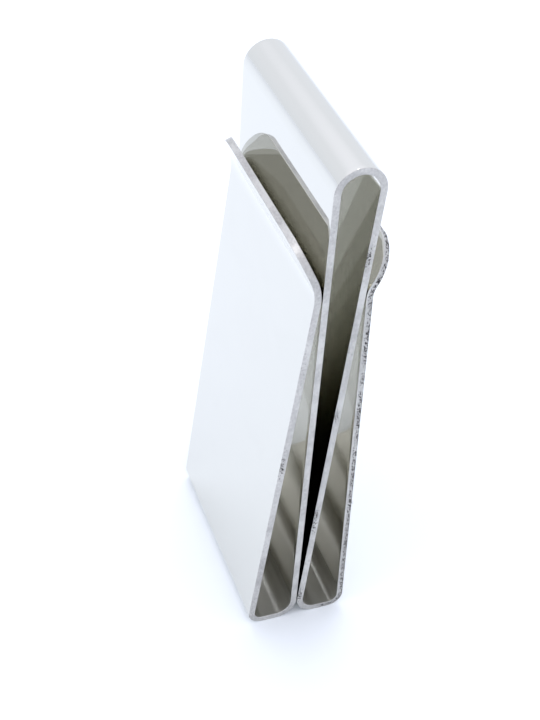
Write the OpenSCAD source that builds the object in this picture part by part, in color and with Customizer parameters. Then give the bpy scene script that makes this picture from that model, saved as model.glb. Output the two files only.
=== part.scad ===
// Double-sided money clip: one strip of polished spring steel, folded into two pockets back to back.
// X runs across the strip, the front leaf faces -Y and the rear leaf faces +Y.
// The origin is on the surface it stands on, under the middle of the clip.
// The strip is followed from the crown down the wall, round the foot and up the leaf to the lip.
// Each flat and each bend of the strip is a node of its own, cut where the straight metal meets the curve.

/* [Strip] */
// Width of the steel strip
strip_w = 21.75; // [18:0.25:30]
// Thickness of the steel sheet
sheet_t = 0.65; // [0.5:0.05:0.8]

/* [Clip] */
// Height from the feet to the top of the crown
clip_h = 54; // [50:0.5:60]
// Thickness of the clip over the two outer bends
clip_d = 10.3; // [9.5:0.1:13]
// Outside radius of the crown, the U bend at the top
crown_r = 2.33; // [2:0.01:2.6]
// Outside radius of the bend between a wall and its foot
inner_bend_r = 2.1; // [1.5:0.05:2.4]
// Outside radius of the bend between a foot and its leaf
outer_bend_r = 1.5; // [1.1:0.05:1.8]

/* [Grip] */
// Height at which the leaves press on the walls
grip_z = 41; // [36:0.1:42]
// Inside radius of the bend under the front lip
front_grip_r = 5; // [2:0.1:6]
// Inside radius of the bend under the rear lip
rear_grip_r = 2; // [1.5:0.1:5]

/* [Lips] */
// Angle that the front lip flares out from upright
front_flare = 26; // [15:1:35]
// Angle that the rear lip flares out from upright
rear_flare = 30; // [15:1:35]
// Length of the flat of the front lip
front_lip_l = 2.7; // [2:0.1:4]
// Length of the flat of the rear lip
rear_lip_l = 3.4; // [2:0.1:4]
// Radius of the rounded corners of the lips
lip_corner_r = 3.7; // [1:0.1:5]

/* [Clearances] */
// Space between the two walls where they come closest
wall_gap = 0.1; // [0.05:0.01:0.3]
// Space between a leaf and its wall at the grip line
grip_gap = 0.06; // [0.04:0.01:0.2]
// Slit left across the strip at each line where it flexes
flex_slit = 0.02; // [0.01:0.01:0.05]

/* [Hidden] */
$fn = 96;
half_t = sheet_t / 2;

// Bend centres in the rear half, as [y, z]
crown_centre = [0, clip_h - crown_r];
inner_centre = [inner_bend_r + wall_gap / 2, inner_bend_r];
outer_centre = [clip_d / 2 - outer_bend_r, outer_bend_r];

// Lean and length of a straight run that leaves one bend and enters a bend of the opposite hand
function run_lean(low, high, radii) =
    asin(radii / norm(high - low)) - atan2(abs(high[0] - low[0]), high[1] - low[1]);
function run_length(low, high, radii) = sqrt(norm(high - low) ^ 2 - radii ^ 2);

// The wall leans outward from its foot to the crown
wall_radii = crown_r + inner_bend_r - sheet_t;
wall_lean = run_lean(inner_centre, crown_centre, wall_radii);
wall_l = run_length(inner_centre, crown_centre, wall_radii);

// Centre of the grip bend, whose inner face comes up to the wall's outer face at the grip line
function grip_centre(grip_r) =
    [(crown_r + grip_gap + grip_r + sheet_t) / cos(wall_lean)
         - (crown_centre[1] - grip_z) * tan(wall_lean),
     grip_z];

// The leaf leans inward from its foot to the grip bend
function leaf_lean(grip_r) =
    let (to = grip_centre(grip_r) - outer_centre)
    asin((outer_bend_r + grip_r) / norm(to)) - atan2(to[0], to[1]);
function leaf_l(grip_r) =
    run_length(outer_centre, grip_centre(grip_r), outer_bend_r + grip_r);

// A pose on the strip's middle surface is [y, z, heading], and these give the pose after a section
function after_flat(pose, length) =
    [pose[0] + length * cos(pose[2]), pose[1] + length * sin(pose[2]), pose[2]];
function bend_centre(pose, mid_r, turn) =
    [pose[0] - sign(turn) * mid_r * sin(pose[2]), pose[1] + sign(turn) * mid_r * cos(pose[2])];
function after_bend(pose, mid_r, turn) =
    let (centre = bend_centre(pose, mid_r, turn), heading = pose[2] + turn)
    [centre[0] + sign(turn) * mid_r * sin(heading),
     centre[1] - sign(turn) * mid_r * cos(heading),
     heading];

// Middle-surface radii and turns of the bends that both halves share
crown_mid_r = crown_r - half_t;
inner_mid_r = inner_bend_r - half_t;
outer_mid_r = outer_bend_r - half_t;
foot_l = outer_centre[0] - inner_centre[0];
inner_turn = 90 + wall_lean;

// Poses down the rear half, from the crown's top to the foot
crown_end = after_bend([0, clip_h - half_t, 0], crown_mid_r, -(90 + wall_lean));
wall_end = after_flat(crown_end, wall_l);
inner_end = after_bend(wall_end, inner_mid_r, inner_turn);
foot_end = after_flat(inner_end, foot_l);

// Poses up a leaf, for a grip bend of the given inside radius
function outer_turn(grip_r) = 90 + leaf_lean(grip_r);
function outer_end(grip_r) = after_bend(foot_end, outer_mid_r, outer_turn(grip_r));
function leaf_end(grip_r) = after_flat(outer_end(grip_r), leaf_l(grip_r));
function grip_turn(grip_r, flare) = -(leaf_lean(grip_r) + flare);
function grip_end(grip_r, flare) =
    after_bend(leaf_end(grip_r), grip_r + half_t, grip_turn(grip_r, flare));

// Block that rounds a lip's corners: how far it reaches down the strip, and its thickness
rounding_l = 8;
rounding_t = 8;

// A straight length of the strip
module flat_section(pose, length) {
    translate([-strip_w / 2, pose[0], pose[1]])
        rotate([pose[2], 0, 0])
            translate([0, 0, -half_t])
                cube([strip_w, length, sheet_t]);
}

// A length of the strip rolled round an axis along X, to the left for a positive turn
module bend_section(pose, mid_r, turn) {
    centre = bend_centre(pose, mid_r, turn);
    start = turn > 0 ? pose[2] - 90 : pose[2] + 90 + turn;
    translate([0, centre[0], centre[1]])
        rotate([start, 0, 0])
            rotate([90, 0, 90])
                rotate_extrude(angle = abs(turn))
                    translate([mid_r - half_t, -strip_w / 2])
                        square([sheet_t, strip_w]);
}

// Keeps what is left of a leaf's end when the lip's two corners are rounded off
module rounded_end(lip_start, lip_l) {
    intersection() {
        children();
        translate([0, lip_start[0], lip_start[1]])
            rotate([lip_start[2], 0, 0])
                translate([0, 0, -rounding_t / 2])
                    linear_extrude(rounding_t)
                        end_outline(lip_l);
    }
}

module end_outline(lip_l) {
    straight_l = rounding_l + lip_l - lip_corner_r;
    translate([-strip_w / 2, -rounding_l])
        square([strip_w, straight_l]);
    translate([-strip_w / 2 + lip_corner_r, -rounding_l])
        square([strip_w - 2 * lip_corner_r, rounding_l + lip_l]);
    for (side = [-1, 1])
        translate([side * (strip_w / 2 - lip_corner_r), lip_l - lip_corner_r])
            circle(lip_corner_r);
}

// The front half repeats the rear half on the other side
module on_front() {
    mirror([0, 1, 0])
        children();
}

// Sections that both halves share
module wall(slit) {
    flat_section(after_flat(crown_end, slit), wall_l - slit);
}

module inner_bend() {
    bend_section(wall_end, inner_mid_r, inner_turn);
}

module foot() {
    flat_section(inner_end, foot_l);
}

module outer_bend(grip_r) {
    bend_section(foot_end, outer_mid_r, outer_turn(grip_r));
}

module leaf(grip_r) {
    flat_section(after_flat(outer_end(grip_r), flex_slit), leaf_l(grip_r) - flex_slit);
}

module grip_bend(grip_r, flare, lip_l) {
    rounded_end(grip_end(grip_r, flare), lip_l)
        bend_section(leaf_end(grip_r), grip_r + half_t, grip_turn(grip_r, flare));
}

module lip(grip_r, flare, lip_l) {
    rounded_end(grip_end(grip_r, flare), lip_l)
        flat_section(grip_end(grip_r, flare), lip_l);
}

// The U bend at the top that joins the two walls
module crown_bend() {
    color("whitesmoke")
        bend_section([-crown_end[0], crown_end[1], 90 + wall_lean], crown_mid_r,
                     -2 * (90 + wall_lean));
}

// Front half, from the wall to the lip
module front_wall() {
    color("gainsboro")
        on_front() wall(0);
}

module front_inner_bend() {
    color("silver")
        on_front() inner_bend();
}

module front_foot() {
    color("silver")
        on_front() foot();
}

module front_outer_bend() {
    color("silver")
        on_front() outer_bend(front_grip_r);
}

module front_leaf() {
    color("lavender")
        on_front() leaf(front_grip_r);
}

module front_grip_bend() {
    color("whitesmoke")
        on_front() grip_bend(front_grip_r, front_flare, front_lip_l);
}

module front_lip() {
    color("whitesmoke")
        on_front() lip(front_grip_r, front_flare, front_lip_l);
}

// Rear half, from the wall to the lip
module rear_wall() {
    color("gainsboro")
        wall(flex_slit);
}

module rear_inner_bend() {
    color("silver")
        inner_bend();
}

module rear_foot() {
    color("silver")
        foot();
}

module rear_outer_bend() {
    color("silver")
        outer_bend(rear_grip_r);
}

module rear_leaf() {
    color("lavender")
        leaf(rear_grip_r);
}

module rear_grip_bend() {
    color("whitesmoke")
        grip_bend(rear_grip_r, rear_flare, rear_lip_l);
}

module rear_lip() {
    color("whitesmoke")
        lip(rear_grip_r, rear_flare, rear_lip_l);
}

crown_bend();
front_wall();
front_inner_bend();
front_foot();
front_outer_bend();
front_leaf();
front_grip_bend();
front_lip();
rear_wall();
rear_inner_bend();
rear_foot();
rear_outer_bend();
rear_leaf();
rear_grip_bend();
rear_lip();
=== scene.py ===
import math

import bpy
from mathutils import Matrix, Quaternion, Vector


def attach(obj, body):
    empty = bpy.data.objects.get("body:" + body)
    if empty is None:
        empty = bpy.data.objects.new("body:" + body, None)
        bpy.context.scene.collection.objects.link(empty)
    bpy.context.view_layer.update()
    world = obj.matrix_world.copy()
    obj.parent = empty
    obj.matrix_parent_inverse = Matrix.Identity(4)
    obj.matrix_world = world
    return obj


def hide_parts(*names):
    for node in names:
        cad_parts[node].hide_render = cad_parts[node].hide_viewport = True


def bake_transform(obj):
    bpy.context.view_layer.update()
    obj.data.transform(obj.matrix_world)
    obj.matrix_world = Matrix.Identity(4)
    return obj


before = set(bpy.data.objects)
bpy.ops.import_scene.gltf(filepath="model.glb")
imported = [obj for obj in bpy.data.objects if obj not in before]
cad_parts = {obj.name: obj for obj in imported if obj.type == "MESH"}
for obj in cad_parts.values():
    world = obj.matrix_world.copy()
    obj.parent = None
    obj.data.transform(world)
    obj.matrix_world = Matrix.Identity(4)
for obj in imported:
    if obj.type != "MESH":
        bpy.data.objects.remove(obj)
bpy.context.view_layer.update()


# ---------------------------------------------------------------------------
# Front wall. The inner flat of the front half, with the bend at its foot. It is
# mirror-polished spring steel, sheared from a wide sheet and folded on a press brake,
# so its faces are bright and its two long edges are grey, torn metal.
# ---------------------------------------------------------------------------
MM = 0.001
STRIP_WIDTH = 21.75 * MM
SHEET = 0.65 * MM
CLIP_HEIGHT = 54.0 * MM
CLIP_DEPTH = 10.3 * MM
CROWN_RADIUS = 2.33 * MM
INNER_BEND_RADIUS = 2.1 * MM
OUTER_BEND_RADIUS = 1.5 * MM
WALL_GAP = 0.1 * MM
EDGE_ROUND = 0.05 * MM
BUFF_REACH = 0.5 * MM
BUFF_DROP = 0.022 * MM
QUARTER = math.pi / 2

# The crown is drawn as a piece of its own, which goes this far down the flats of the walls
CROWN_CUT = 1.0 * MM

# How finely the strip is drawn: along its flats and bends, and across its section
FLAT_STEP = 0.12 * MM
BEND_STEP = math.radians(3)
BUFF_STEPS = 8
CUT_STEPS = 9


def straight(pose, length):
    """Points along a flat of the strip's middle surface, and the pose [y, z, heading] after it."""
    y, z, heading = pose
    count = round(length / FLAT_STEP)
    points = [
        (y + math.cos(heading) * length * i / count, z + math.sin(heading) * length * i / count)
        for i in range(1, count + 1)
    ]
    return points, [*points[-1], heading]


def rolled(pose, outside_radius, turn):
    """Points along a bend, to the left for a positive turn, and the pose [y, z, heading] after it."""
    y, z, heading = pose
    side = math.copysign(outside_radius - SHEET / 2, turn)
    centre_y, centre_z = y - side * math.sin(heading), z + side * math.cos(heading)
    count = round(abs(turn) / BEND_STEP)
    points = [
        (
            centre_y + side * math.sin(heading + turn * i / count),
            centre_z - side * math.cos(heading + turn * i / count),
        )
        for i in range(1, count + 1)
    ]
    return points, [*points[-1], heading + turn]


def run_between(low, high, radii):
    """Lean and length of the flat that leaves one bend and enters a bend of the other hand."""
    across, up = abs(high[0] - low[0]), high[1] - low[1]
    reach = math.hypot(across, up)
    return math.asin(radii / reach) - math.atan2(across, up), math.sqrt(reach**2 - radii**2)


crown_centre = (0.0, CLIP_HEIGHT - CROWN_RADIUS)
inner_centre = (INNER_BEND_RADIUS + WALL_GAP / 2, INNER_BEND_RADIUS)
outer_centre = (CLIP_DEPTH / 2 - OUTER_BEND_RADIUS, OUTER_BEND_RADIUS)
wall_lean, wall_length = run_between(
    inner_centre, crown_centre, CROWN_RADIUS + INNER_BEND_RADIUS - SHEET
)
foot_half = (outer_centre[0] - inner_centre[0]) / 2
_, crown_end = rolled([0.0, CLIP_HEIGHT - SHEET / 2, 0.0], CROWN_RADIUS, -(QUARTER + wall_lean))
_, wall_start = straight(crown_end, CROWN_CUT)


def wall_path():
    """The middle surface from just under the crown down to the middle of the foot."""
    flat, pose = straight(wall_start, wall_length - CROWN_CUT)
    bend, pose = rolled(pose, INNER_BEND_RADIUS, QUARTER + wall_lean)
    foot, pose = straight(pose, foot_half)
    return [tuple(wall_start[:2]), *flat, *bend, *foot], pose


def sheet_section():
    """Outline of the sheet cut across, where buffing has rolled its upper face off at both edges."""
    half_width, half_sheet = STRIP_WIDTH / 2, SHEET / 2

    def corner(centre_y, *degrees):
        """Points round a corner of the right-hand edge."""
        angles = [math.radians(angle) for angle in degrees]
        centre_x = half_width - EDGE_ROUND
        return [
            (centre_x + EDGE_ROUND * math.cos(angle), centre_y + EDGE_ROUND * math.sin(angle))
            for angle in angles
        ]

    insets = [BUFF_REACH * step / BUFF_STEPS for step in range(BUFF_STEPS, 0, -1)] + [EDGE_ROUND]
    roll_off = [
        (half_width - inset, half_sheet - BUFF_DROP * (1 - inset / BUFF_REACH) ** 2) for inset in insets
    ]
    upper_corner = corner(roll_off[-1][1] - EDGE_ROUND, 60, 30, 0)
    lower_corner = corner(EDGE_ROUND - half_sheet, 0, -30, -60, -90)
    top, bottom = upper_corner[-1][1], lower_corner[0][1]
    cut = [(half_width, top + (bottom - top) * step / CUT_STEPS) for step in range(1, CUT_STEPS)]
    right = [*roll_off, *upper_corner, *cut, *lower_corner]
    outline = right + [(-x, y) for x, y in reversed(right)]
    line = bpy.data.curves.new("sheet_section", "CURVE")
    spline = line.splines.new("POLY")
    spline.use_cyclic_u = True
    spline.points.add(len(outline) - 1)
    for point, (x, y) in zip(spline.points, reversed(outline)):
        point.co = (x, y, 0.0, 1.0)
    return bpy.data.objects.new("sheet_section", line)


class Wiring:
    """A node tree, with short ways to add nodes to it and to feed their sockets."""

    def __init__(self, tree):
        self.nodes, self.links = tree.nodes, tree.links

    def feed(self, socket, value):
        """Wires another node's output to a socket, or sets the socket to a plain value."""
        if isinstance(value, bpy.types.NodeSocket):
            self.links.new(value, socket)
        else:
            socket.default_value = value

    def add(self, kind, inputs, **settings):
        """Adds a node with its settings, and feeds its inputs by name."""
        node = self.nodes.new(kind)
        for name, setting in settings.items():
            setattr(node, name, setting)
        for name, value in inputs.items():
            self.feed(node.inputs[name], value)
        return node

    def maths(self, operation, *values):
        """The result of a sum on plain numbers."""
        node = self.add("ShaderNodeMath", {}, operation=operation)
        for socket, value in zip(node.inputs, values):
            self.feed(socket, value)
        return node.outputs["Value"]

    def vector_maths(self, operation, *values):
        """The result of a sum on vectors."""
        node = self.add("ShaderNodeVectorMath", {}, operation=operation)
        for socket, value in zip(node.inputs, values):
            self.feed(socket, value)
        return node.outputs["Vector"]

    def noise(self, vector, scale, detail, distortion=0.0):
        """Cloudy values round 0.5. The scale is in lumps per metre, or per unit of the vector."""
        sizes = {"Scale": scale, "Detail": detail, "Distortion": distortion}
        return self.add("ShaderNodeTexNoise", {"Vector": vector, **sizes}).outputs[0]

    def span(self, value, low, high, at_low=0.0, at_high=1.0, kind="LINEAR"):
        """Goes from at_low to at_high as the value goes from low to high, and stays there."""
        ends = {"From Min": low, "From Max": high, "To Min": at_low, "To Max": at_high}
        node = self.add("ShaderNodeMapRange", {"Value": value, **ends}, interpolation_type=kind)
        return node.outputs["Result"]

    def mix(self, share, first, second, kind="RGBA"):
        """The first value, or the second as its share nears 1."""
        node = self.add("ShaderNodeMix", {"Factor": share, "A": first, "B": second}, data_type=kind)
        return node.outputs["Result"]

    def ramp(self, value, first, last, *between, kind="LINEAR"):
        """A colour that follows the value through (value, colour) stops."""
        node = self.add("ShaderNodeValToRGB", {"Fac": value})
        node.color_ramp.interpolation = kind
        stops = node.color_ramp.elements
        for stop, (place, colour) in zip(stops, (first, last)):
            stop.position = place
            stop.color = colour
        for place, colour in between:
            stops.new(place).color = colour
        return node.outputs["Color"]

    def attribute(self, name):
        """What the mesh remembers under this name."""
        return self.add("ShaderNodeAttribute", {}, attribute_name=name).outputs["Fac"]


def new_finish(name, metallic):
    """A finish to fill in: the material, its wiring, its shader and the piece's own coordinates."""
    made = bpy.data.materials.new(name)
    made.use_nodes = True
    shader = made.node_tree.nodes["Principled BSDF"]
    shader.inputs["Metallic"].default_value = metallic
    wire = Wiring(made.node_tree)
    return made, wire, shader, wire.add("ShaderNodeTexCoord", {}).outputs["Object"]


MIRROR_ROUGHNESS = 0.015
MIRROR_COLOUR = (0.725, 0.72, 0.685, 1.0)
SMEARED_COLOUR = (0.715, 0.71, 0.675, 1.0)
SMEAR_LEVELS = (0.52, 0.72)
SMEAR_ROUGHNESS = 0.02
HAIRLINE_ROUGHNESS = 0.03
HAIRLINES_PER_METRE = (9000.0, 9000.0, 260.0)
# Painted shade: the dim olive grey that the steel's colour turns to low in the pockets and at the hem,
# where the steel is also rougher
PAINTED_POCKET_SHADE_COLOUR = (0.63, 0.62, 0.57, 1.0)
POCKET_HEIGHTS = (4.0 * MM, 22.0 * MM)
POCKET_DULLNESS_AND_SHADE = 0.12
HEM_HEIGHTS = (1.2 * MM, 4.5 * MM)
HEM_DULLNESS_AND_SHADE = 0.28
DULLNESS_AT_FULL_SHADE = 0.16
WAVE_DEPTH = 0.0025 * MM


def polished_steel():
    """Mirror finish with a little waviness from rolling, faint wiping hairlines, finger smears and
    painted shade low in the pockets.
    """
    made, wire, shader, place = new_finish("mirror_polished_steel", metallic=1.0)

    # Smears left by fingers: soft patches that dull the mirror a little
    smear = wire.noise(place, scale=170.0, detail=5.0, distortion=0.6)
    smeared = wire.span(smear, *SMEAR_LEVELS)

    # Wiping hairlines that run up and down the strip
    stretch = wire.add("ShaderNodeMapping", {"Vector": place, "Scale": HAIRLINES_PER_METRE})
    hairline = wire.noise(stretch.outputs["Vector"], scale=1.0, detail=2.0)

    # No buffing wheel reaches down into a pocket: the steel gets duller towards the hem, and its colour
    # is darkened there as painted shade
    height = wire.add("ShaderNodeSeparateXYZ", {"Vector": place}).outputs["Z"]
    pocket_dull_and_shade = wire.span(height, *POCKET_HEIGHTS, POCKET_DULLNESS_AND_SHADE, 0.0)
    hem_dull_and_shade = wire.span(height, *HEM_HEIGHTS, HEM_DULLNESS_AND_SHADE, 0.0, "SMOOTHSTEP")
    inside_dull_and_shade = wire.maths("ADD", pocket_dull_and_shade, hem_dull_and_shade)
    dull_and_shade = wire.maths("MULTIPLY_ADD", inside_dull_and_shade, wire.attribute("upper_face"), MIRROR_ROUGHNESS)

    roughness = wire.maths("MULTIPLY_ADD", smeared, SMEAR_ROUGHNESS, dull_and_shade)
    roughness = wire.maths("MULTIPLY_ADD", hairline, HAIRLINE_ROUGHNESS, roughness)
    wire.feed(shader.inputs["Roughness"], roughness)
    tint = wire.mix(smeared, MIRROR_COLOUR, SMEARED_COLOUR)
    # Painted shade: as the pocket and hem dullness grows, the colour darkens towards the painted shade
    # colour
    tint = wire.mix(wire.span(dull_and_shade, 0.0, DULLNESS_AT_FULL_SHADE), tint, PAINTED_POCKET_SHADE_COLOUR)
    wire.feed(shader.inputs["Base Color"], tint)

    wave = wire.noise(place, scale=110.0, detail=1.0)
    bump = wire.add("ShaderNodeBump", {"Distance": WAVE_DEPTH, "Height": wave})
    wire.feed(shader.inputs["Normal"], bump.outputs["Normal"])
    return made


DARK_DRAWN_COLOUR = (0.42, 0.41, 0.4, 1.0)
PALE_DRAWN_COLOUR = (0.6, 0.59, 0.57, 1.0)
DRAWN_LEVELS = (0.38, 0.6)
DRAWN_ROUGHNESS = (0.28, 0.5)
GRAIN_SHARE = 0.45
PIT_COLOUR = (0.045, 0.04, 0.04, 1.0)
PIT_LEVELS = (0.72, 0.82)
PIT_DEPTH = 0.04 * MM
PIT_SHARPNESS = 0.6
MORE_PITS_IF_TORN = 0.25


def sheared_steel():
    """Cut edges: pale, finely drawn metal where the blade slid, and dark pits where the sheet tore."""
    made, wire, shader, place = new_finish("sheared_edge_steel", metallic=0.85)

    # Fine drawn grain over the whole edge, in paler and darker clouds
    grain = wire.noise(place, scale=5200.0, detail=3.0)
    cloud = wire.noise(place, scale=420.0, detail=3.0)
    mottle = wire.mix(GRAIN_SHARE, cloud, grain, "FLOAT")
    low, high = DRAWN_LEVELS
    drawn = wire.ramp(mottle, (low, DARK_DRAWN_COLOUR), (high, PALE_DRAWN_COLOUR))

    # Pits, which are dense where the edge is torn and few elsewhere
    pit = wire.noise(place, scale=6000.0, detail=2.0)
    pit = wire.maths("MULTIPLY_ADD", wire.attribute("torn"), MORE_PITS_IF_TORN, pit)
    pitted = wire.span(pit, *PIT_LEVELS)
    wire.feed(shader.inputs["Base Color"], wire.mix(pitted, drawn, PIT_COLOUR))
    wire.feed(shader.inputs["Roughness"], wire.span(grain, 0.0, 1.0, *DRAWN_ROUGHNESS))
    hollows = {"Distance": PIT_DEPTH, "Strength": PIT_SHARPNESS, "Height": pitted}
    bump = wire.add("ShaderNodeBump", hollows, invert=True)
    wire.feed(shader.inputs["Normal"], bump.outputs["Normal"])
    return made


def strip_tree():
    """Geometry Nodes: draws the sheet's section along a path, rounds its end and tears its edges."""
    tree = bpy.data.node_groups.new("fold_strip", "GeometryNodeTree")
    tree.interface.new_socket("Path", in_out="INPUT", socket_type="NodeSocketGeometry")
    tree.interface.new_socket("Section", in_out="INPUT", socket_type="NodeSocketObject")
    for name, value in (
        ("Section turn", 0.0),
        ("Strip width", STRIP_WIDTH),
        ("Sheet thickness", SHEET),
        ("Edge round", EDGE_ROUND),
        ("End is cut", 0.0),
        ("Corner radius", 1.0 * MM),
        ("Tear amount", 0.42),
        ("Tear depth", 0.12 * MM),
        ("Tear size", 0.18 * MM),
        ("Torn patches per metre", 190.0),
        ("Burrs per metre square", 0.0),
        ("Burr length", 0.3 * MM),
        ("Burr-free height", 1.5 * MM),
    ):
        socket = tree.interface.new_socket(name, in_out="INPUT", socket_type="NodeSocketFloat")
        socket.default_value = value
    tree.interface.new_socket("Seed", in_out="INPUT", socket_type="NodeSocketInt")
    for name in ("Face finish", "Edge finish"):
        tree.interface.new_socket(name, in_out="INPUT", socket_type="NodeSocketMaterial")
    tree.interface.new_socket("Strip", in_out="OUTPUT", socket_type="NodeSocketGeometry")
    wire = Wiring(tree)
    given = tree.nodes.new("NodeGroupInput").outputs

    def remembered(geometry, **fields):
        """Captures fields at a geometry's points: the geometry, then each field as it was there."""
        node = wire.add("GeometryNodeCaptureAttribute", {"Geometry": geometry}, domain="POINT")
        for name, field in fields.items():
            node.capture_items.new("VECTOR" if field.type == "VECTOR" else "FLOAT", name)
            wire.feed(node.inputs[name], field)
        return [node.outputs["Geometry"], *(node.outputs[name] for name in fields)]

    half_width = wire.maths("MULTIPLY", given["Strip width"], 0.5)
    half_sheet = wire.maths("MULTIPLY", given["Sheet thickness"], 0.5)
    here = wire.add("GeometryNodeInputPosition", {}).outputs["Position"]
    spot = wire.add("ShaderNodeSeparateXYZ", {"Vector": here}).outputs

    # The section knows which of its points are on the sheared sides, and how deep in the sheet
    drawing = wire.add("GeometryNodeObjectInfo", {"Object": given["Section"]})
    from_edge = wire.maths("SUBTRACT", half_width, wire.maths("ABSOLUTE", spot["X"]))
    share_of_corner = 0.9
    side_reach = wire.maths("MULTIPLY", given["Edge round"], share_of_corner)
    side = wire.maths("LESS_THAN", from_edge, side_reach)
    depth = wire.maths("SUBTRACT", 0.5, wire.maths("DIVIDE", spot["Y"], given["Sheet thickness"]))
    section, side, depth = remembered(drawing.outputs["Geometry"], Side=side, Depth=depth)
    turn = wire.add("ShaderNodeCombineXYZ", {"Z": given["Section turn"]})
    turned = wire.add(
        "GeometryNodeTransform", {"Geometry": section, "Rotation": turn.outputs["Vector"]}
    )

    # The path knows its middle line, and how far each point is from its end
    along = wire.add("GeometryNodeSplineParameter", {}).outputs["Length"]
    whole = wire.add("GeometryNodeSplineLength", {}).outputs["Length"]
    left = wire.maths("SUBTRACT", whole, along)
    path, middle, to_end = remembered(given["Path"], Middle=here, Left=left)
    sweep = wire.add(
        "GeometryNodeCurveToMesh",
        {"Curve": path, "Profile Curve": turned.outputs["Geometry"], "Fill Caps": True},
    )

    # Towards a cut end the corners are rounded, and the last edge is broken
    offset = wire.vector_maths("SUBTRACT", here, middle)
    offset = wire.add("ShaderNodeSeparateXYZ", {"Vector": offset}).outputs

    def rounded(radius):
        """What a quarter round of this radius takes off, from the distance to the end."""
        inside = wire.maths("SUBTRACT", 1.0, wire.maths("DIVIDE", to_end, radius))
        inside = wire.maths("MAXIMUM", inside, 0.0)
        level = wire.maths("SUBTRACT", 1.0, wire.maths("MULTIPLY", inside, inside))
        fall = wire.maths("SUBTRACT", 1.0, wire.maths("SQRT", level))
        return wire.maths("MULTIPLY", wire.maths("MULTIPLY", fall, radius), given["End is cut"])

    off_width = wire.maths("DIVIDE", rounded(given["Corner radius"]), half_width)
    off_sheet = wire.maths("DIVIDE", rounded(given["Edge round"]), half_sheet)
    narrower = wire.maths("SUBTRACT", 1.0, off_width)
    thinner = wire.maths("SUBTRACT", 1.0, off_sheet)

    # Past the middle of the sheet the blade no longer cut but tore, more in some places than others
    patch = wire.noise(here, given["Torn patches per metre"], detail=3.0)
    patch = wire.maths("ADD", patch, given["Tear amount"])
    patch = wire.span(patch, low=1.0, high=1.22, kind="SMOOTHSTEP")
    lower_side = wire.span(depth, low=0.05, high=0.55, kind="SMOOTHSTEP")
    torn = wire.maths("MULTIPLY", wire.maths("MULTIPLY", patch, lower_side), side)
    ragged = wire.noise(here, wire.maths("DIVIDE", 1.0, given["Tear size"]), detail=2.0)
    bite = wire.maths("MULTIPLY", wire.maths("MULTIPLY", ragged, torn), given["Tear depth"])
    inward = wire.maths("MULTIPLY", bite, wire.maths("SIGN", offset["X"]))
    new_x = wire.maths("SUBTRACT", wire.maths("MULTIPLY", offset["X"], narrower), inward)
    new_y = wire.maths("MULTIPLY", offset["Y"], thinner)
    new_z = wire.maths("MULTIPLY", offset["Z"], thinner)
    new_offset = wire.add("ShaderNodeCombineXYZ", {"X": new_x, "Y": new_y, "Z": new_z})
    new_place = wire.vector_maths("ADD", middle, new_offset.outputs["Vector"])
    strip, torn = remembered(sweep.outputs["Mesh"], Torn=torn)
    shaped = wire.add("GeometryNodeSetPosition", {"Geometry": strip, "Position": new_place})

    # Cut faces are the long sides, with their corners, and the strip's end where it really ends
    a_micron = 1e-6
    corner_share = 0.25
    at_end = wire.maths("LESS_THAN", to_end, a_micron)
    at_end = wire.maths("MULTIPLY", at_end, given["End is cut"])
    on_side = wire.maths("GREATER_THAN", side, corner_share)
    marked = shaped.outputs["Geometry"]
    for name, domain, value in (
        ("cut_face", "FACE", wire.maths("MAXIMUM", on_side, at_end)),
        ("torn", "POINT", torn),
        ("upper_face", "POINT", wire.maths("LESS_THAN", depth, 0.5)),
    ):
        mark = {"Geometry": marked, "Name": name, "Value": value}
        store = wire.add("GeometryNodeStoreNamedAttribute", mark, domain=domain)
        marked = store.outputs["Geometry"]
    cut_face = wire.add("GeometryNodeInputNamedAttribute", {"Name": "cut_face"}).outputs[0]

    # The edges where a cut face meets a polished one stay crisp: there the mark is about a half
    half, give_or_take = 0.5, 0.3
    meeting = wire.maths("COMPARE", cut_face, half, give_or_take)
    crisp = wire.add(
        "GeometryNodeSetShadeSmooth",
        {"Geometry": marked, "Selection": meeting, "Shade Smooth": False},
        domain="EDGE",
    ).outputs["Geometry"]

    # Burrs: slivers of torn metal that still hang on the edge, worn off where the clip stands
    badly_torn = 0.55
    lean, whole_turn = 1.1, 6.28
    shortest, longest = 0.3, 1.0
    burred = wire.maths("GREATER_THAN", torn, badly_torn)
    above_foot = wire.maths("GREATER_THAN", spot["Z"], given["Burr-free height"])
    scatter = wire.add(
        "GeometryNodeDistributePointsOnFaces",
        {
            "Mesh": crisp,
            "Selection": wire.maths("MULTIPLY", burred, above_foot),
            "Density": given["Burrs per metre square"],
            "Seed": given["Seed"],
        },
    )
    sliver = wire.add("GeometryNodeMeshCone", {"Vertices": 5, "Radius Bottom": 0.12, "Depth": 1.0})
    tilt = wire.add(
        "FunctionNodeRandomValue",
        {"Min": (-lean, -lean, 0.0), "Max": (lean, lean, whole_turn), "Seed": given["Seed"]},
        data_type="FLOAT_VECTOR",
    )
    length = wire.add(
        "FunctionNodeRandomValue", {"Min": shortest, "Max": longest, "Seed": given["Seed"]}
    )
    stand = wire.add(
        "FunctionNodeRotateRotation",
        {"Rotation": scatter.outputs["Rotation"], "Rotate By": tilt.outputs["Value"]},
        rotation_space="LOCAL",
    )
    burrs = wire.add(
        "GeometryNodeInstanceOnPoints",
        {
            "Points": scatter.outputs["Points"],
            "Instance": sliver.outputs["Mesh"],
            "Rotation": stand.outputs["Rotation"],
            "Scale": wire.maths("MULTIPLY", length.outputs["Value"], given["Burr length"]),
        },
    )
    burr_mark = wire.add(
        "GeometryNodeStoreNamedAttribute",
        {"Geometry": burrs.outputs["Instances"], "Name": "cut_face", "Value": 1.0},
        domain="INSTANCE",
    )

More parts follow.
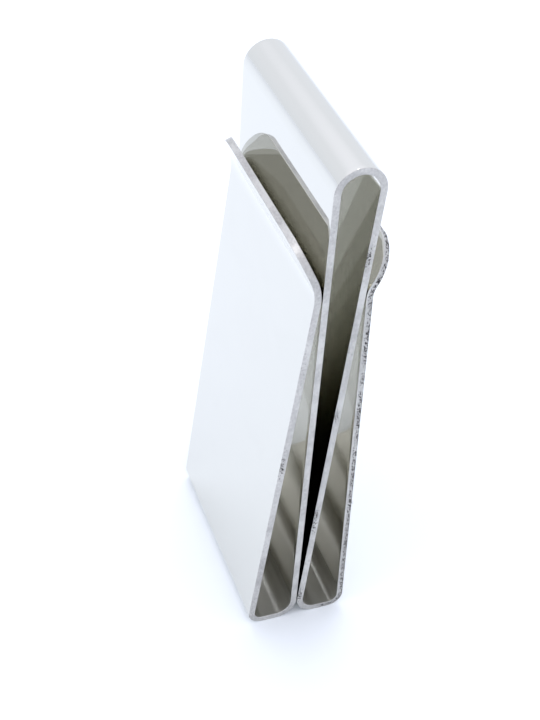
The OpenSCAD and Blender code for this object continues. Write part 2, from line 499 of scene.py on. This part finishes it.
    together = wire.add("GeometryNodeJoinGeometry", {"Geometry": burr_mark.outputs["Geometry"]})
    wire.feed(together.inputs["Geometry"], crisp)
    real = wire.add("GeometryNodeRealizeInstances", {"Geometry": together.outputs["Geometry"]})
    faces = wire.add(
        "GeometryNodeSetMaterial",
        {"Geometry": real.outputs["Geometry"], "Material": given["Face finish"]},
    )
    edges = wire.add(
        "GeometryNodeSetMaterial",
        {
            "Geometry": faces.outputs["Geometry"],
            "Selection": wire.maths("GREATER_THAN", cut_face, half),
            "Material": given["Edge finish"],
        },
    )
    wire.add("NodeGroupOutput", {"Strip": edges.outputs["Geometry"]})
    return tree


face_finish = polished_steel()
edge_finish = sheared_steel()
section_drawing = sheet_section()
fold_strip = strip_tree()


def fold(name, points, **sizes):
    """Makes one length of the strip along its middle surface, as a plain mesh."""
    line = bpy.data.curves.new(name + "_path", "CURVE")
    line.dimensions = "3D"
    spline = line.splines.new("POLY")
    spline.points.add(len(points) - 1)
    for point, (y, z) in zip(spline.points, points):
        point.co = (0.0, y, z, 1.0)
    path = bpy.data.objects.new(name + "_path", line)
    bpy.context.scene.collection.objects.link(path)
    modifier = path.modifiers.new("fold", "NODES")
    modifier.node_group = fold_strip
    settings = {
        "Section": section_drawing,
        "Face finish": face_finish,
        "Edge finish": edge_finish,
        **sizes,
    }
    for item in fold_strip.interface.items_tree:
        if item.in_out == "INPUT" and item.name in settings:
            modifier[item.identifier] = settings[item.name]
    bpy.context.view_layer.update()
    evaluated = path.evaluated_get(bpy.context.evaluated_depsgraph_get())
    mesh = bpy.data.meshes.new_from_object(evaluated)
    bpy.data.objects.remove(path)
    piece = bpy.data.objects.new(name, mesh)
    bpy.context.scene.collection.objects.link(piece)
    return piece


def on_front(points):
    """The same points in the front half, which is the mirror image of the rear half."""
    return [(-y, z) for y, z in points]


rear_wall_points, foot_middle = wall_path()
front_wall = fold("front_wall_strip", on_front(rear_wall_points))
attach(front_wall, "front_half")
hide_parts("front_wall", "front_inner_bend", "front_foot")


# ---------------------------------------------------------------------------
# Crown. The same strip carries on over the top in one U bend, which is the spring
# that holds the two halves together. It is rolled, so it has no flats of its own.
# ---------------------------------------------------------------------------
cut_back, crown_pose = straight([-wall_start[0], wall_start[1], QUARTER + wall_lean], CROWN_CUT)
crown_arc, crown_pose = rolled(crown_pose, CROWN_RADIUS, -2 * (QUARTER + wall_lean))
cut_over, _ = straight(crown_pose, CROWN_CUT)
crown = fold("crown_strip", [(-wall_start[0], wall_start[1]), *cut_back, *crown_arc, *cut_over])
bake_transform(crown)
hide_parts("crown_bend")


# ---------------------------------------------------------------------------
# Front leaf. From the middle of the foot the strip turns up and leans in until it
# presses on the wall, then flares out in a short straight lip that leads notes in.
# ---------------------------------------------------------------------------
GRIP_HEIGHT = 41.0 * MM
GRIP_GAP = 0.06 * MM
FRONT_GRIP_RADIUS = 5.0 * MM
FRONT_FLARE = math.radians(26)
FRONT_LIP = 2.7 * MM
FRONT_TEAR = 0.56
LIP_CORNER = 3.7 * MM
LIP_STEP = math.radians(4)
LEAF_EDGE = {
    "Section turn": math.pi,
    "End is cut": 1.0,
    "Corner radius": LIP_CORNER,
    "Burrs per metre square": 3e6,
}


def leaf_path(grip_radius, flare):
    """The middle surface from the middle of the foot up the leaf and round the grip bend."""
    grip_centre = (
        (CROWN_RADIUS + GRIP_GAP + grip_radius + SHEET) / math.cos(wall_lean)
        - (crown_centre[1] - GRIP_HEIGHT) * math.tan(wall_lean),
        GRIP_HEIGHT,
    )
    lean, length = run_between(outer_centre, grip_centre, OUTER_BEND_RADIUS + grip_radius)
    foot, pose = straight(foot_middle, foot_half)
    bend, pose = rolled(pose, OUTER_BEND_RADIUS, QUARTER + lean)
    flat, pose = straight(pose, length)
    grip, pose = rolled(pose, grip_radius + SHEET, -(lean + flare))
    return [tuple(foot_middle[:2]), *foot, *bend, *flat, *grip], pose


def lip_flat(pose, length):
    """The flat of a lip, with points closer and closer together as its rounded corners come in."""
    y, z, heading = pose
    count = math.ceil(QUARTER / LIP_STEP)
    ends = [LIP_CORNER * (1 - math.cos(i * QUARTER / count)) for i in range(count, -1, -1)]
    return [
        (y + math.cos(heading) * (length - to_end), z + math.sin(heading) * (length - to_end))
        for to_end in ends
        if to_end < length
    ]


front_points, lip_pose = leaf_path(FRONT_GRIP_RADIUS, FRONT_FLARE)
front_lip = lip_flat(lip_pose, FRONT_LIP)
front_edge = {**LEAF_EDGE, "Seed": 3, "Tear amount": FRONT_TEAR}
front_leaf = fold("front_leaf_strip", on_front(front_points + front_lip), **front_edge)
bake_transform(front_leaf)
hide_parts("front_outer_bend", "front_leaf", "front_grip_bend", "front_lip")


# ---------------------------------------------------------------------------
# Rear wall. The mirror image of the front wall, down to the middle of the rear foot.
# It is the same polished strip, and its sheared edges are torn a little more.
# ---------------------------------------------------------------------------
REAR_WALL_TEAR = 0.54

rear_wall = fold("rear_wall_strip", rear_wall_points, **{"Tear amount": REAR_WALL_TEAR})
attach(rear_wall, "rear_half")
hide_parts("rear_wall", "rear_inner_bend", "rear_foot")


# ---------------------------------------------------------------------------
# Rear leaf. The other end of the strip, folded like the front leaf but with a tighter
# grip bend and a slightly longer lip that stands out a little more. Its sheared edge is
# the most ragged one.
# ---------------------------------------------------------------------------
REAR_GRIP_RADIUS = 2.0 * MM
REAR_FLARE = math.radians(30)
REAR_LIP = 3.4 * MM
REAR_TEAR = 0.78
REAR_TEAR_DEPTH = 0.17 * MM

rear_points, rear_lip_pose = leaf_path(REAR_GRIP_RADIUS, REAR_FLARE)
rear_lip = lip_flat(rear_lip_pose, REAR_LIP)
rear_edge = {**LEAF_EDGE, "Seed": 8, "Tear amount": REAR_TEAR, "Tear depth": REAR_TEAR_DEPTH}
rear_leaf = fold("rear_leaf_strip", rear_points + rear_lip, **rear_edge)
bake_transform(rear_leaf)
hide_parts("rear_outer_bend", "rear_leaf", "rear_grip_bend", "rear_lip")


# ---------------------------------------------------------------------------
# Stage. A plain white table under a bright, even sky, as in a light tent, with one
# round soft lamp high up beyond the clip's -X edges and a smaller one before its
# front leaf.
# ---------------------------------------------------------------------------
TABLE_REACH = 3.0
TABLE_COLOUR = (0.9, 0.93, 0.96, 1.0)

floor_mesh = bpy.data.meshes.new("table_top")
floor_mesh.from_pydata(
    [
        (-TABLE_REACH, -TABLE_REACH, 0.0),
        (TABLE_REACH, -TABLE_REACH, 0.0),
        (TABLE_REACH, TABLE_REACH, 0.0),
        (-TABLE_REACH, TABLE_REACH, 0.0),
    ],
    [],
    [(0, 1, 2, 3)],
)
floor = bpy.data.objects.new("table_top", floor_mesh)
bpy.context.scene.collection.objects.link(floor)
paper = bpy.data.materials.new("white_table")
paper.use_nodes = True
paper_shader = paper.node_tree.nodes["Principled BSDF"]
paper_shader.inputs["Base Color"].default_value = TABLE_COLOUR
paper_shader.inputs["Roughness"].default_value = 0.9
paper_shader.inputs["Specular IOR Level"].default_value = 0.1
floor.data.materials.append(paper)

# The tent's colours, each with how far up its direction points: 0 is level and 1 is straight up
TENT_BOTTOM = (0.0, (0.97, 1.02, 1.12, 1.0))
TENT_SIDE = (0.45, (1.01, 1.05, 1.15, 1.0))
TENT_TOP = (0.72, (1.16, 1.19, 1.31, 1.0))

scene = bpy.context.scene
sky = bpy.data.worlds.new("light_tent")
sky.use_nodes = True
sky_wire = Wiring(sky.node_tree)
direction = sky_wire.add("ShaderNodeTexCoord", {}).outputs["Generated"]
upward = sky_wire.add("ShaderNodeSeparateXYZ", {"Vector": direction}).outputs["Z"]
tent = sky_wire.ramp(upward, TENT_BOTTOM, TENT_TOP, TENT_SIDE, kind="EASE")
background = sky.node_tree.nodes["Background"]
sky_wire.feed(background.inputs["Color"], tent)
background.inputs["Strength"].default_value = 1.0
scene.world = sky


def soft_lamp(name, width, watts, colour, place):
    """A round soft lamp that hangs at a place and shines on the clip's foot."""
    data = bpy.data.lights.new(name, "AREA")
    data.shape = "DISK"
    data.size = width
    data.energy = watts
    data.color = colour
    lamp = bpy.data.objects.new(name, data)
    lamp.location = place
    lamp.rotation_mode = "QUATERNION"
    lamp.rotation_quaternion = lamp.location.to_track_quat("Z", "Y")
    scene.collection.objects.link(lamp)


soft_lamp("softbox", width=0.24, watts=0.24, colour=(0.96, 0.98, 1.0), place=(-0.17, 0.05, 0.42))
soft_lamp("window", width=0.14, watts=0.2, colour=(1.0, 1.0, 1.0), place=(0.02, -0.2, 0.4))

VIEW_AZIMUTH = math.radians(65.79)
VIEW_ELEVATION = math.radians(40.09)
VIEW_ROLL = math.radians(6.66)
VIEW_DISTANCE = 126.63 * MM
VIEW_TARGET = Vector((0.0, -1.23 * MM, 25.73 * MM))
VIEW_LENS = 65.65
VIEW_NEAR = 0.01
VIEW_FAR = 10.0

back = Vector(
    (
        math.sin(VIEW_AZIMUTH) * math.cos(VIEW_ELEVATION),
        -math.cos(VIEW_AZIMUTH) * math.cos(VIEW_ELEVATION),
        math.sin(VIEW_ELEVATION),
    )
)
camera_data = bpy.data.cameras.new("camera")
camera_data.lens = VIEW_LENS
camera_data.clip_start = VIEW_NEAR
camera_data.clip_end = VIEW_FAR
camera = bpy.data.objects.new("camera", camera_data)
camera.location = VIEW_TARGET + back * VIEW_DISTANCE
camera.rotation_mode = "QUATERNION"
camera.rotation_quaternion = (-back).to_track_quat("-Z", "Y") @ Quaternion((0.0, 0.0, 1.0), VIEW_ROLL)
scene.collection.objects.link(camera)
scene.camera = camera

# Enough bounces for light to find its way in and out of the pockets
MIRROR_BOUNCES = 32
TABLE_BOUNCES = 4

scene.view_settings.view_transform = "Standard"
scene.cycles.max_bounces = MIRROR_BOUNCES
scene.cycles.glossy_bounces = MIRROR_BOUNCES
scene.cycles.diffuse_bounces = TABLE_BOUNCES
